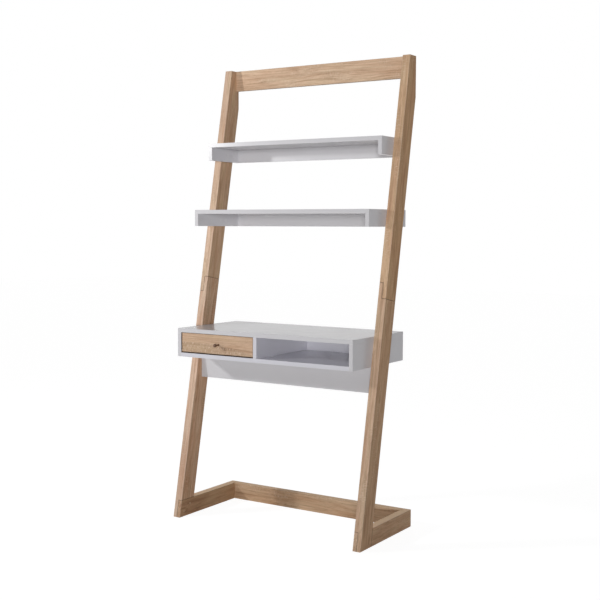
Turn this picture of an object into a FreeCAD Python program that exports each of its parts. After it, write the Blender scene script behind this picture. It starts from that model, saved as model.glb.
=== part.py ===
import FreeCAD, Part
from collections import namedtuple
import math
import os

os.makedirs("parts", exist_ok=True)
V = FreeCAD.Vector
Cam = namedtuple("Cam", "radius reach past thread_radius thread head_radius neck_radius hole_radius")

# Ladder desk, millimetres. While building: X = 0 is mid-width (+X to the right seen from the
# front), Y = 0 is the stiles' front edge at the floor (+Y towards the wall), Z = 0 is the floor.
# Every part is moved by TO_CENTRE when it is saved, so Y = 0 becomes the middle of the depth.

# ---- driving sizes: overall ----
overall_height = 1830.0
overall_width = 870.0
wall_y = 405.0            # wall plane: rear of the feet, base rail, top rail and stile tops

# ---- side frames: stile in two pieces, foot ----
stock_thick = 33.0        # stiles and feet, along X
stile_width = 78.0        # stile, square to its length
upright_cut = 155.0       # height of the upright cut behind the stile's top
foot_height = 68.0
lap_low_z = 912.0         # mid lap: outer shoulder, at the front edge
lap_high_z = 971.0        # mid lap: inner shoulder, at the front edge
shoulder_gap = 0.8        # gap left at each lap shoulder
stock_ease = 1.0          # eased long edges of stiles and feet
seam_groove = 1.0         # V-groove where a lap's two eased edges meet, each way

# ---- rails and panels ----
board = 16.0              # lacquered boards
board_ease = 0.5          # eased edges of the boards
top_rail_height = 82.0
top_rail_thick = 18.0
base_rail_thick = 30.0
apron_front = 146.0       # modesty panel, front face
apron_bottom = 559.0

# ---- shelves: open boxes of a top, two ends and a rail at the back ----
upper_front = 196.0
upper_top = 1515.0
upper_height = 69.0
middle_front = 103.0
middle_top = 1243.0
middle_height = 65.0
shelf_to_wall = 10.0

# ---- desk box ----
desk_front = -8.0
desk_to_wall = 20.0
desk_top_z = 772.0
desk_height = 113.0
divider_right_x = -20.0   # right face of the divider
back_recess = 14.0        # desk's back panel behind the rear edges of the top and ends

# ---- drawer ----
front_recess = 2.0        # drawer front behind the desk's front edge
front_gap_left = 5.0
front_gap_right = 3.0
front_gap_low = 4.5       # under the drawer front
front_gap_high = 2.0      # above it
drawer_board = 12.0
drawer_bottom_thick = 4.0
drawer_rear_gap = 25.0    # drawer sides to the desk's back panel
side_bottom_lift = 10.0   # drawer side above the desk's bottom board
side_height = 56.0
groove_depth = 5.0
groove_lift = 8.0         # groove above the drawer side's lower edge
groove_slack = 0.1
knob_reach = 30.0
knob_radius = 6.8
knob_neck = 3.6
knob_foot = 5.0
knob_foot_step = 0.4      # foot narrows by this before it sweeps into the neck
knob_rim = 1.3            # rounding of the knob's rim
knob_offset = 10.0        # knob to the right of the drawer's middle

# ---- ball-bearing runners, side mounted ----
runner_thick = 12.7
runner_setback = 4.0      # runner behind the drawer front's rear face
runner_end_gap = 16.0     # drawer sides past the runner's rear end
runner_lift = 32.0        # runner centre above the desk's bottom board
runner_overlap = 90.0     # rails still inside each other with the drawer fully out
rail_sheet = 1.2
outer_half = 13.5         # half height of the cabinet rail
outer_depth = 10.5
race_gap = 2.4            # between the two rails' flanges
ball_radius = 1.55
race_radius = 1.6
race_u = 7.5              # ball track, from the cabinet panel
cage_u = 3.2              # cage web, from the cabinet panel
cage_web = 0.6
cage_sheet = 0.8
cage_flange_end = 9.6
inner_flange_start = 4.8
stop_start = 5.0          # stop tabs, height above the runner's centre
stop_end = 8.0
stop_gap = 0.2
stop_lap = 0.8            # cabinet rail's stop tab past the cage web's front
balls_per_row = 5
ball_end = 9.6            # first and last ball from the cage's ends

# ---- fasteners: sizes ----
fit = 0.05                # radial clearance of a fastener in its hole
tip = 0.4                 # a hole's extra depth past the fastener
dowel_radius = 4.0
dowel_short = 11.0        # dowel in the face of a board
dowel_long = 19.0         # dowel in the edge of a board
small_dowel_radius = 3.0
# cam fitting: reach is from the bolt's board to the cam's centre, past is the cam beyond the bolt
CAM_15 = Cam(radius=7.5, reach=24.0, past=4.5, thread_radius=3.0, thread=11.0,
             head_radius=3.4, neck_radius=2.5, hole_radius=4.0)
CAM_12 = Cam(radius=6.0, reach=24.0, past=3.5, thread_radius=2.5, thread=10.0,
             head_radius=2.7, neck_radius=2.0, hole_radius=3.2)
cam_collar = 4.0          # plain collar on the cam bolt, next to its thread
cam_head = 3.0            # head of the cam bolt, along the bolt
slot_length = 7.0         # cross slot in a cam
slot_width = 1.2
slot_depth = 2.0
bolt_radius = 3.0         # stile bolts
bolt_reach = 12.0         # bolt in the stile's insert
bolt_head_radius = 6.5
bolt_head = 2.5
socket_flats = 4.0
socket_depth = 1.8
cap_radius = 7.5
cap_thick = 1.0
cap_gap = 0.2             # cap or plug to the head under it
insert_radius = 5.0
insert_length = 13.0
lap_screw_radius = 2.0
lap_screw_depth = 30.0
lap_head_radius = 4.0
lap_head = 2.5
plug_radius = 5.0
plug_thick = 1.5
rail_screw_radius = 1.75
rail_screw_head = 3.5
rail_screw_head_thick = 1.6
cabinet_screw_length = 11.0
drawer_screw_length = 10.0
knob_screw_radius = 2.0
knob_screw_head = 4.5
knob_screw_head_thick = 2.2
knob_screw_grip = 14.0    # knob screw inside the knob
corner_screw_radius = 2.0
corner_screw_head = 3.5
corner_screw_head_thick = 2.0
corner_screw_length = 40.0
bottom_screw_radius = 1.5
bottom_screw_head = 3.0
bottom_screw_head_thick = 1.5
bottom_screw_length = 18.0

# ---- fasteners: places, each from the edge, end or middle of the piece that it holds ----
top_rail_dowel_offset = 25.0
base_rail_dowel_offset = 20.0
apron_dowel_inset = 18.0
panel_dowel_offset = 16.0     # back panel's ends
long_dowel_pitch = 250.0      # along the back panel and the shelves' back rails
shelf_dowel_front = 40.0
shelf_dowel_rear = 27.0
shelf_rail_dowel_offset = 12.0
desk_cam_inset = 50.0         # desk ends and divider
desk_dowel_inset = 114.0
divider_dowel_inset = 66.0    # divider's lower edge
bolt_offset = 18.0            # two bolts in one shelf end, each side of the stile's middle
desk_bolt_low = 24.0
desk_bolt_high = 31.0
lap_screw_offset = 14.0
lap_screw_inset = 20.0
foot_screw_inset = 22.0
cabinet_screw_inset = 40.0
drawer_screw_inset = 60.0
drawer_cam_inset = 14.0
drawer_dowel_inset = 17.0
corner_screw_low = 22.0
corner_screw_high = 10.0
bottom_screw_inset = 40.0

# ---- derived ----
half = overall_width / 2
inner = half - stock_thick
mid = half - stock_thick / 2
kink_z = overall_height - upright_cut
lean = math.atan2(wall_y, kink_z) - math.asin(stile_width / math.hypot(wall_y, kink_z))
slope = math.tan(lean)
stile_depth = stile_width / math.cos(lean)
s_low = lap_low_z / math.cos(lean)
s_high = lap_high_z / math.cos(lean)
shelf_rear = wall_y - shelf_to_wall
desk_rear = wall_y - desk_to_wall
back_front = desk_rear - back_recess - board
desk_bottom_z = desk_top_z - desk_height
cavity_low = desk_bottom_z + board
cavity_high = desk_top_z - board
divider_left_x = divider_right_x - board
cavity_left = -inner + board
drawer_mid = (cavity_left + divider_left_x) / 2
drawer_half = (divider_left_x - cavity_left) / 2 - runner_thick
front_y = desk_front + front_recess
front_rear = front_y + board
side_rear = back_front - drawer_rear_gap
side_low = cavity_low + side_bottom_lift
side_high = side_low + side_height
groove_z = side_low + groove_lift
runner_y = front_rear + runner_setback
runner_length = side_rear - runner_end_gap - runner_y
drawer_travel = runner_length - runner_overlap
runner_z = cavity_low + runner_lift
far = 2 * overall_height
past = 1.0                # a cut's extra length past the face that it opens
TO_CENTRE = V(0, -(front_y - knob_reach + wall_y) / 2, 0)
X = V(1, 0, 0)
Y = V(0, 1, 0)
Z = V(0, 0, 1)


# ---- small helpers ----
def box(x0, x1, y0, y1, z0, z1):
    return Part.makeBox(x1 - x0, y1 - y0, z1 - z0, V(x0, y0, z0))


def eased(solid, size=board_ease):
    return solid.makeChamfer(size, solid.Edges)


def rod(radius, point, direction, start, end):
    return Part.makeCylinder(radius, end - start, point + direction * start, direction)


def prism(points, x0, x1):
    """Side-view outline (y, z) extruded from x0 to x1."""
    corners = [V(x0, y, z) for y, z in points + points[:1]]
    return Part.Face(Part.makePolygon(corners)).extrude(V(x1 - x0, 0, 0))


def stile_point(s, across):
    """Point s along the stile from the floor and `across` behind its front face."""
    y = s * math.sin(lean) + across * math.cos(lean)
    z = s * math.cos(lean) - across * math.sin(lean)
    return V(0, y, z)


def past_cut(s, x0, x1):
    """All of space past a square cut across the stile, between x0 and x1."""
    block = Part.makeBox(x1 - x0, 2 * far, far, V(x0, -far, s))
    block.rotate(V(0, 0, 0), X, -math.degrees(lean))
    return block


def mirrored(shape):
    return shape.mirror(V(0, 0, 0), X)


def one(shape):
    """The single clean solid of a boolean result."""
    solids = shape.removeSplitter().Solids
    if len(solids) != 1:
        raise ValueError("expected one solid, got %d" % len(solids))
    return solids[0]


def fuse(first, *rest):
    return one(first.fuse(list(rest)))


def bored(solid, bores):
    """Cuts every hole that really passes through the solid."""
    hits = [b for b in bores if b.BoundBox.intersect(solid.BoundBox)]
    hits = [b for b in hits if b.common(solid).Volume > 0.01]
    if not hits:
        return solid
    return one(solid.cut(hits))


# ---- fasteners: each returns its solids and the holes it needs ----
def dowel(point, direction, radius=dowel_radius):
    """Wood dowel: the long end goes along `direction`."""
    pin = rod(radius, point, direction, -dowel_short, dowel_long)
    hole = rod(radius + fit, point, direction, -dowel_short - tip, dowel_long + tip)
    return pin, [hole]


def cam_joint(size, point, direction, to_face, axis_depth):
    """Cam and bolt: thread against `direction`, cam open towards `to_face`."""
    collar_radius = size.hole_radius - 2 * fit
    head_start = size.reach - cam_head / 2
    bolt = fuse(rod(size.thread_radius, point, direction, -size.thread, 0),
                rod(collar_radius, point, direction, 0, cam_collar),
                rod(size.neck_radius, point, direction, cam_collar, size.reach),
                rod(size.head_radius, point, direction, head_start, head_start + cam_head))
    face = point + direction * size.reach + to_face * axis_depth
    depth = axis_depth + size.past
    room_start = size.reach - size.radius - past
    cam = rod(size.radius, face, to_face * -1, 2 * fit, depth)
    cam = cam.cut(rod(size.head_radius + 4 * fit, point, direction, room_start,
                      size.reach + size.past))
    cross = direction.cross(to_face)
    for along, over in ((direction, cross), (cross, direction)):
        cam = cam.cut(slot_box(face, along, over, to_face))
    holes = [rod(size.thread_radius + fit, point, direction, -size.thread - tip, past),
             rod(size.hole_radius, point, direction, 0, size.reach),
             rod(size.radius + fit, face, to_face * -1, -past, depth + tip / 2)]
    return bolt, one(cam), holes


def slot_box(face, along, over, normal):
    """One arm of the cross slot in a cam's face."""
    a = along * (slot_length / 2)
    b = over * (slot_width / 2)
    top = face + normal * past
    corners = [top - a - b, top + a - b, top + a + b, top - a + b, top - a - b]
    return Part.Face(Part.makePolygon(corners)).extrude(normal * -(slot_depth + past))


def stile_bolt(side, y, z):
    """Bolt, cap and threaded insert that fix an end board to a stile."""
    direction = X * side
    point = V(side * inner, y, z)
    head_start = -board + cap_thick + cap_gap
    head_end = head_start + bolt_head
    cap = rod(cap_radius, point, direction, -board, -board + cap_thick)
    bolt = fuse(rod(bolt_head_radius, point, direction, head_start, head_end),
                rod(bolt_radius, point, direction, head_end, bolt_reach))
    bolt = one(bolt.cut(hex_socket(point, direction, head_start)))
    insert = rod(insert_radius, point, direction, 0, insert_length)
    thread = rod(bolt_radius + fit, point, direction, -past, insert_length + past)
    insert = one(insert.cut(thread))
    holes = [rod(cap_radius + fit, point, direction, -board - past, head_end),
             rod(bolt_radius + 6 * fit, point, direction, head_end - past, 0),
             rod(insert_radius + fit, point, direction, 0, insert_length + tip)]
    return bolt, cap, insert, holes


def hex_socket(point, direction, start):
    """Hexagon socket in the head of a bolt along X."""
    radius = socket_flats / 2 / math.cos(math.pi / 6)
    centre = point + direction * (start - past)
    angles = [math.radians(60 * i) for i in range(7)]
    corners = [centre + V(0, radius * math.cos(a), radius * math.sin(a)) for a in angles]
    return Part.Face(Part.makePolygon(corners)).extrude(direction * (socket_depth + past))


def lap_screw(side, point_right):
    """Screw and plug through a half lap, from the inner face."""
    point = V(side * inner, point_right.y, point_right.z)
    direction = X * side
    head_start = plug_thick + cap_gap
    head_end = head_start + lap_head
    plug = rod(plug_radius, point, direction, 0, plug_thick)
    screw = fuse(rod(lap_head_radius, point, direction, head_start, head_end),
                 rod(lap_screw_radius, point, direction, head_end, lap_screw_depth))
    shank_end = lap_screw_depth + tip
    holes = [rod(plug_radius + fit, point, direction, -past, head_end),
             rod(lap_screw_radius + fit, point, direction, head_end - past, shank_end)]
    return screw, plug, holes


def headed_screw(point, direction, radius, head_radius, head_thick, length):
    """Screw with its head against `direction` from the point and its shank along it."""
    screw = fuse(rod(head_radius, point, direction, -head_thick, 0),
                 rod(radius, point, direction, 0, length))
    hole = rod(radius + fit, point, direction, -past, length + tip)
    return screw, [hole]


def corner_screw(point, direction):
    """Flush-headed screw through a drawer side into the back."""
    head = corner_screw_head_thick
    length = corner_screw_length
    screw = fuse(rod(corner_screw_head, point, direction, 0, head),
                 rod(corner_screw_radius, point, direction, head, length))
    holes = [rod(corner_screw_head + fit, point, direction, -past, head),
             rod(corner_screw_radius + fit, point, direction, head - past, length + tip)]
    return screw, holes


# ---- where the fasteners go ----
def frame_dowels():
    """Points and directions of every dowel outside the drawer."""
    spots = []
    back_y = back_front + board / 2
    desk_mid_z = (desk_bottom_z + desk_top_z) / 2
    rail_mid = overall_height - top_rail_height / 2
    for side in (-1, 1):
        inward = X * -side
        end_x = side * (inner - board / 2)
        end_face = side * (inner - board)
        for dz in (-top_rail_dowel_offset, top_rail_dowel_offset):
            spots.append((V(side * inner, wall_y - top_rail_thick / 2, rail_mid + dz), inward))
        for dz in (-base_rail_dowel_offset, base_rail_dowel_offset):
            base_y = wall_y - base_rail_thick / 2
            spots.append((V(side * inner, base_y, foot_height / 2 + dz), inward))
        for z in (apron_bottom + apron_dowel_inset, desk_bottom_z - apron_dowel_inset):
            spots.append((V(side * inner, apron_front + board / 2, z), inward))
        for y in (desk_front + desk_dowel_inset, desk_rear - desk_dowel_inset):
            spots.append((V(end_x, y, cavity_high), Z * -1))
            spots.append((V(end_face, y, desk_bottom_z + board / 2), inward))
        for dz in (-panel_dowel_offset, panel_dowel_offset):
            spots.append((V(end_face, back_y, desk_mid_z + dz), inward))
        spots += shelf_end_dowels(side, upper_front, upper_top, upper_height)
        spots += shelf_end_dowels(side, middle_front, middle_top, middle_height)
    divider_x = divider_right_x - board / 2
    for y in (desk_front + desk_dowel_inset, back_front - desk_dowel_inset):
        spots.append((V(divider_x, y, cavity_high), Z * -1))
    divider_mid_y = (desk_front + back_front) / 2
    for y in (desk_front + divider_dowel_inset, divider_mid_y, back_front - divider_dowel_inset):
        spots.append((V(divider_x, y, cavity_low), Z))
    for x in (-long_dowel_pitch, 0, long_dowel_pitch):
        spots.append((V(x, back_y, cavity_low), Z))
        for top in (upper_top, middle_top):
            spots.append((V(x, shelf_rear - board / 2, top - board), Z * -1))
    return spots


def shelf_end_dowels(side, front, top, height):
    end_x = side * (inner - board / 2)
    end_face = side * (inner - board)
    middle = top - (height + board) / 2
    rail_y = shelf_rear - board / 2
    offset = shelf_rail_dowel_offset
    ys = (front + shelf_dowel_front, shelf_rear - shelf_dowel_rear)
    spots = [(V(end_x, y, top - board), Z * -1) for y in ys]
    spots += [(V(end_face, rail_y, middle + dz), X * -side) for dz in (-offset, offset)]
    return spots


def frame_cams():
    """Point, direction, open side and axis depth of every 15 mm cam but the base rail's."""
    spots = []
    for side in (-1, 1):
        inward = X * -side
        rail_mid = overall_height - top_rail_height / 2
        rail_axis = top_rail_thick / 2
        spots.append((V(side * inner, wall_y - rail_axis, rail_mid), inward, Y, rail_axis))
        apron_mid = (apron_bottom + desk_bottom_z) / 2
        spots.append((V(side * inner, apron_front + board / 2, apron_mid), inward, Y, board / 2))
        end_x = side * (inner - board / 2)
        end_face = side * (inner - board)
        for y in (desk_front + desk_cam_inset, desk_rear - desk_cam_inset):
            spots.append((V(end_x, y, cavity_high), Z * -1, inward, board / 2))
            low = V(end_face, y, desk_bottom_z + board / 2)
            spots.append((low, inward, Z * -1, board / 2))
    for y in (desk_front + desk_cam_inset, back_front - desk_cam_inset):
        point = V(divider_right_x - board / 2, y, cavity_high)
        spots.append((point, Z * -1, X * -1, board / 2))
    return spots


def base_cams():
    axis = base_rail_thick / 2
    spots = []
    for side in (-1, 1):
        point = V(side * inner, wall_y - axis, foot_height / 2)
        spots.append((point, X * -side, Y, axis))
    return spots


def stile_bolt_spots():
    spots = []
    for side in (-1, 1):
        for top, height in ((upper_top, upper_height), (middle_top, middle_height)):
            z = top - (height + board) / 2
            middle = slope * z + stile_depth / 2
            spots += [(side, middle - bolt_offset, z), (side, middle + bolt_offset, z)]
        for z in (desk_bottom_z + desk_bolt_low, desk_top_z - desk_bolt_high):
            spots.append((side, slope * z + stile_depth / 2, z))
    return spots


def lap_screw_spots():
    """Side and place of the screws in the mid laps and in the feet's laps."""
    centre = (s_low + s_high) / 2
    rear = stile_width - lap_screw_inset
    low_z = foot_screw_inset
    high_z = foot_height - foot_screw_inset
    spots = [stile_point(centre - lap_screw_offset, lap_screw_inset),
             stile_point(centre + lap_screw_offset, rear),
             V(0, slope * low_z + foot_screw_inset, low_z),
             V(0, slope * high_z + stile_depth - foot_screw_inset, high_z)]
    return [(side, spot) for side in (-1, 1) for spot in spots]


def gather(results, columns):
    """Turns a list of fastener results into one list per column, holes joined."""
    lists = [[r[i] for r in results] for i in range(columns)]
    holes = [hole for r in results for hole in r[-1]]
    return lists, holes


(DOWELS,), dowel_holes = gather([dowel(*s) for s in frame_dowels()], 1)
(CAM_BOLTS, CAMS), cam_holes = gather([cam_joint(CAM_15, *s) for s in frame_cams()], 2)
(BASE_BOLTS, BASE_CAMS), base_holes = gather([cam_joint(CAM_15, *s) for s in base_cams()], 2)
bolt_results = [stile_bolt(*s) for s in stile_bolt_spots()]
(STILE_BOLTS, CAPS, INSERTS), bolt_holes = gather(bolt_results, 3)
(LAP_SCREWS, PLUGS), lap_holes = gather([lap_screw(*s) for s in lap_screw_spots()], 2)
FRAME_HOLES = dowel_holes + cam_holes + base_holes + bolt_holes + lap_holes


# ---- side frames ----
def side_outline():
    foot_top = (stile_depth + slope * foot_height, foot_height)
    return [(0, 0), (wall_y, 0), (wall_y, foot_height), foot_top, (wall_y, kink_z),
            (wall_y, overall_height), (slope * overall_height, overall_height)]


def whole_side():
    """Right side frame in one piece, long edges eased, before its laps are cut."""
    solid = prism(side_outline(), inner, half)
    edges = [e for e in solid.Edges if e.BoundBox.XLength < 0.01]
    return solid.makeChamfer(stock_ease, edges)


def foot_space(grow):
    """Room of the foot: under its top line inside, behind the stile outside."""
    rear_end = wall_y + past
    top = foot_height + grow
    inside = box(inner - past, mid, -past, rear_end, -past, top)
    lap_y = stile_depth - grow
    outline = [(lap_y - slope * past, -past), (rear_end, -past), (rear_end, top),
               (lap_y + slope * top, top)]
    return inside.fuse(prism(outline, mid, half + past))


def upper_space(shift):
    """Room of the upper stile: past the lap's low cut outside, past its high cut inside."""
    outside = past_cut(s_low + shift, mid, half + past)
    return outside.fuse(past_cut(s_high + shift, inner - past, mid))


def seam_grooves():
    """V-grooves along the seams that show on the stile's front and rear edges."""
    along = V(0, math.sin(lean), math.cos(lean))
    into = V(0, math.cos(lean), -math.sin(lean))
    s_foot = foot_height / math.cos(lean)
    grooves = []
    for start, end, across in ((-past, s_foot, 0), (s_low, s_high, 0), (s_low, s_high, stile_width)):
        centre = stile_point(start, across) + X * mid
        corners = [centre + X * seam_groove, centre + into * seam_groove,
                   centre - X * seam_groove, centre - into * seam_groove]
        outline = Part.Face(Part.makePolygon(corners + corners[:1]))
        grooves.append(outline.extrude(along * (end - start)))
    return grooves


def side_pieces():
    whole = one(whole_side().cut(seam_grooves()))
    foot = one(whole.common(foot_space(0)))
    upright = whole.cut(foot_space(shoulder_gap))
    lower = one(upright.cut(upper_space(-shoulder_gap / 2)))
    upper = one(upright.common(upper_space(shoulder_gap / 2)))
    return {"foot": foot, "lower_stile": lower, "upper_stile": upper}


# ---- rails, shelves and desk box ----
def top_rail():
    low = overall_height - top_rail_height
    return eased(box(-inner, inner, wall_y - top_rail_thick, wall_y, low, overall_height))


def base_rail():
    return eased(box(-inner, inner, wall_y - base_rail_thick, wall_y, 0, foot_height))


def modesty_panel():
    rear = apron_front + board
    return eased(box(-inner, inner, apron_front, rear, apron_bottom, desk_bottom_z))


def shelf_pieces(name, front, top, height):
    under = top - board
    low = top - height
    face = inner - board
    return {
        name + "_top_board": eased(box(-inner, inner, front, shelf_rear, under, top)),
        name + "_left_end": eased(box(-inner, -face, front, shelf_rear, low, under)),
        name + "_right_end": eased(box(face, inner, front, shelf_rear, low, under)),
        name + "_back_rail": eased(box(-face, face, shelf_rear - board, shelf_rear, low, under)),
    }


def desk_pieces():
    face = inner - board
    low = desk_bottom_z
    return {
        "desk_top_board": eased(box(-inner, inner, desk_front, desk_rear, cavity_high, desk_top_z)),
        "desk_bottom_board": eased(box(-face, face, desk_front, desk_rear, low, cavity_low)),
        "desk_left_end": eased(box(-inner, -face, desk_front, desk_rear, low, cavity_high)),
        "desk_right_end": eased(box(face, inner, desk_front, desk_rear, low, cavity_high)),
        "desk_divider": eased(box(divider_left_x, divider_right_x, desk_front, back_front,
                                  cavity_low, cavity_high)),
        "desk_back_panel": eased(box(-face, face, back_front, back_front + board,
                                     cavity_low, cavity_high)),
    }


# ---- runners: built at the left of the drawer, mirrored for its right ----
race_z = outer_half - rail_sheet - race_gap / 2
inner_half = outer_half - rail_sheet - race_gap
cage_start = rail_sheet + stop_gap + drawer_travel / 2
cage_length = runner_overlap - 2 * (rail_sheet + stop_gap)
cage_half = race_z + cage_sheet / 2
ball_pitch = (cage_length - 2 * ball_end) / (balls_per_row - 1)


def runner_block(u0, u1, y0, y1, z0, z1):
    """Block in runner terms: u from the cabinet panel, y from the runner's front."""
    return box(cavity_left + u0, cavity_left + u1, runner_y + y0, runner_y + y1,
               runner_z + z0, runner_z + z1)


def channel(u_web, web, u_end, half_height, sheet, y0, y1):
    """Bent sheet channel: a web and two flanges that reach to u_end."""
    low, high = sorted((u_web, u_end))
    web_low = u_web if u_end > u_web else u_web - web
    web_block = runner_block(web_low, web_low + web, y0, y1, -half_height, half_height)
    parts = [web_block]
    for side in (-1, 1):
        z0, z1 = sorted((side * half_height, side * (half_height - sheet)))
        parts.append(runner_block(low, high, y0, y1, z0, z1))
    return fuse(*parts)


def races():
    start = V(cavity_left + race_u, runner_y, runner_z)
    return [rod(race_radius, start + Z * (side * race_z), Y, -past, runner_length + past)
            for side in (-1, 1)]


def cabinet_rail():
    rail = channel(0, rail_sheet, outer_depth, outer_half, rail_sheet, 0, runner_length)
    tab = runner_block(rail_sheet, cage_u + stop_lap, 0, rail_sheet, stop_start, stop_end)
    return one(fuse(rail, tab).cut(races()))


def drawer_rail():
    rail = channel(runner_thick, rail_sheet, inner_flange_start, inner_half, rail_sheet,
                   0, runner_length)
    tab = runner_block(cage_u - stop_gap, runner_thick - rail_sheet,
                       runner_length - rail_sheet, runner_length, stop_start, stop_end)
    return one(fuse(rail, tab).cut(races()))


def ball_spots():
    spots = []
    for i in range(balls_per_row):
        y = runner_y + cage_start + ball_end + i * ball_pitch
        for side in (-1, 1):
            spots.append(V(cavity_left + race_u, y, runner_z + side * race_z))
    return spots


def ball_cage():
    cage = channel(cage_u, cage_web, cage_flange_end, cage_half, cage_sheet,
                   cage_start, cage_start + cage_length)
    holes = [rod(race_radius, spot, Z, -cage_sheet, cage_sheet) for spot in ball_spots()]
    return one(cage.cut(holes))


def balls():
    return [Part.makeSphere(ball_radius, spot) for spot in ball_spots()]


def other_runner(shape):
    """Mirrors a left runner part to the drawer's right side."""
    return shape.mirror(V(drawer_mid, 0, 0), X)


def rail_screws(face, direction, inset, length):
    """Two screws through a rail's web, `inset` from the rail's ends."""
    spots = [V(face, runner_y + y, runner_z) for y in (inset, runner_length - inset)]
    return [headed_screw(spot, direction, rail_screw_radius, rail_screw_head,
                         rail_screw_head_thick, length) for spot in spots]


# ---- drawer ----
def knob():
    """Turned knob on the drawer front, its axis along -Y."""
    neck_start = 0.20 * knob_reach
    neck_end = 0.46 * knob_reach
    rim_start = 0.60 * knob_reach
    widest = 0.75 * knob_reach
    rim_end = 0.90 * knob_reach
    profile = [(knob_foot, 0),
               (knob_foot - knob_foot_step, neck_start / 3),
               (knob_neck, neck_start),
               (knob_neck, neck_end),
               (knob_radius - knob_rim, rim_start),
               (knob_radius, widest),
               (knob_radius - knob_rim, rim_end),
               (knob_radius / 2, 0.98 * knob_reach),
               (0, knob_reach)]
    x = drawer_mid + knob_offset
    z = (cavity_low + cavity_high) / 2
    points = [V(x + r, front_y - reach, z) for r, reach in profile]
    curve = Part.BSplineCurve()
    curve.interpolate(Points=points, InitialTangent=V(0, -1, 0), FinalTangent=V(-1, 0, 0))
    base = V(x, front_y, z)
    edges = [curve.toShape(), Part.makeLine(points[-1], base), Part.makeLine(base, points[0])]
    body = Part.Face(Part.Wire(edges)).revolve(base, Y, 360)
    body = Part.makeSolid(body) if body.ShapeType != "Solid" else body
    return body, base


def knob_and_screw():
    """Knob, and the screw that holds it from behind the drawer front."""
    body, base = knob()
    end = board + knob_screw_grip
    start = base + Y * board
    hole = rod(knob_screw_radius + fit, start, Y * -1, -past, end + tip)
    screw = fuse(rod(knob_screw_head, start, Y, 0, knob_screw_head_thick),
                 rod(knob_screw_radius, start, Y * -1, 0, end))
    return one(body.cut(hole)), screw, hole


def drawer_fasteners():
    """Cams and dowels at the front corners, screws at the rear corners."""
    cams = []
    dowels = []
    screws = []
    for side in (-1, 1):
        inward = X * -side
        x = drawer_mid + side * (drawer_half - drawer_board / 2)
        point = V(x, front_rear, side_high - drawer_cam_inset)
        cams.append(cam_joint(CAM_12, point, Y, inward, drawer_board / 2))
        low_point = V(x, front_rear, side_low + drawer_dowel_inset)
        dowels.append(dowel(low_point, Y, small_dowel_radius))
        outer = drawer_mid + side * drawer_half
        for z in (side_low + corner_screw_low, side_high - corner_screw_high):
            screws.append(corner_screw(V(outer, side_rear - drawer_board / 2, z), inward))
    return cams, dowels, screws


def bottom_screws():
    """Small screws that hold the drawer bottom up to the back."""
    offset = drawer_half - drawer_board - bottom_screw_inset
    y = side_rear - drawer_board / 2
    return [headed_screw(V(drawer_mid + x, y, groove_z), Z, bottom_screw_radius,
                         bottom_screw_head, bottom_screw_head_thick, bottom_screw_length)
            for x in (-offset, offset)]


def drawer_pieces():
    width_in = drawer_half - drawer_board
    left = drawer_mid - drawer_half
    right = drawer_mid + drawer_half
    low = cavity_low + front_gap_low
    top = cavity_high - front_gap_high
    front = box(cavity_left + front_gap_left, divider_left_x - front_gap_right,
                front_y, front_rear, low, top)
    groove_top = groove_z + drawer_bottom_thick + groove_slack
    groove = box(drawer_mid - width_in - groove_depth, drawer_mid + width_in + groove_depth,
                 front_rear - groove_depth, side_rear + past, groove_z, groove_top)
    reach = groove_depth - 2 * groove_slack
    bottom = box(drawer_mid - width_in - reach, drawer_mid + width_in + reach,
                 front_rear - reach, side_rear, groove_z, groove_z + drawer_bottom_thick)
    back = box(drawer_mid - width_in, drawer_mid + width_in, side_rear - drawer_board,
               side_rear, groove_top, side_high)
    side_1 = box(left, left + drawer_board, front_rear, side_rear, side_low, side_high)
    side_2 = box(right - drawer_board, right, front_rear, side_rear, side_low, side_high)
    return {
        "drawer_front": one(eased(front).cut(groove)),
        "drawer_left_side": one(eased(side_1).cut(groove)),
        "drawer_right_side": one(eased(side_2).cut(groove)),
        "drawer_back": back,
        "drawer_bottom": bottom,
    }


# ---- saving ----
def save(name, shape):
    """Writes one node, checked, moved to the part's origin."""
    solids = shape.Solids
    if not shape.isValid() or not solids or min(s.Volume for s in solids) <= 0:
        raise ValueError("bad shape: " + name)
    moved = shape.copy()
    moved.translate(TO_CENTRE)
    moved.exportStep("parts/" + name + ".step")
    b = moved.BoundBox
    print("%-26s %3d %s" % (name, len(solids), [round(v, 1) for v in
          (b.XMin, b.XMax, b.YMin, b.YMax, b.ZMin, b.ZMax)]))


def save_group(name, solids):
    save(name, Part.makeCompound(solids))


def both(shapes):
    return shapes + [other_runner(s) for s in shapes]


cabinet_set = rail_screws(cavity_left + rail_sheet, X * -1, cabinet_screw_inset,
                          cabinet_screw_length)
drawer_set = rail_screws(cavity_left + runner_thick - rail_sheet, X, drawer_screw_inset,
                         drawer_screw_length)
cabinet_screw_holes = both([h for r in cabinet_set for h in r[1]])
drawer_screw_holes = both([h for r in drawer_set for h in r[1]])
FRAME_HOLES += cabinet_screw_holes

for piece, solid in side_pieces().items():
    save("right_" + piece, bored(solid, FRAME_HOLES))
    save("left_" + piece, bored(mirrored(solid), FRAME_HOLES))
frame_boards = {"top_rail": top_rail(), "base_rail": base_rail(), "modesty_panel": modesty_panel()}
frame_boards.update(shelf_pieces("upper_shelf", upper_front, upper_top, upper_height))
frame_boards.update(shelf_pieces("middle_shelf", middle_front, middle_top, middle_height))
frame_boards.update(desk_pieces())
for piece, solid in frame_boards.items():
    save(piece, bored(solid, FRAME_HOLES))

save_group("wood_dowels", DOWELS)
save_group("cam_bolts", CAM_BOLTS + BASE_BOLTS)
save_group("cam_locks", CAMS)
save_group("base_rail_cam_locks", BASE_CAMS)
save_group("stile_bolts", STILE_BOLTS)
save_group("bolt_caps", CAPS)
save_group("threaded_inserts", INSERTS)
save_group("lap_screws", LAP_SCREWS)
save_group("lap_plugs", PLUGS)

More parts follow.
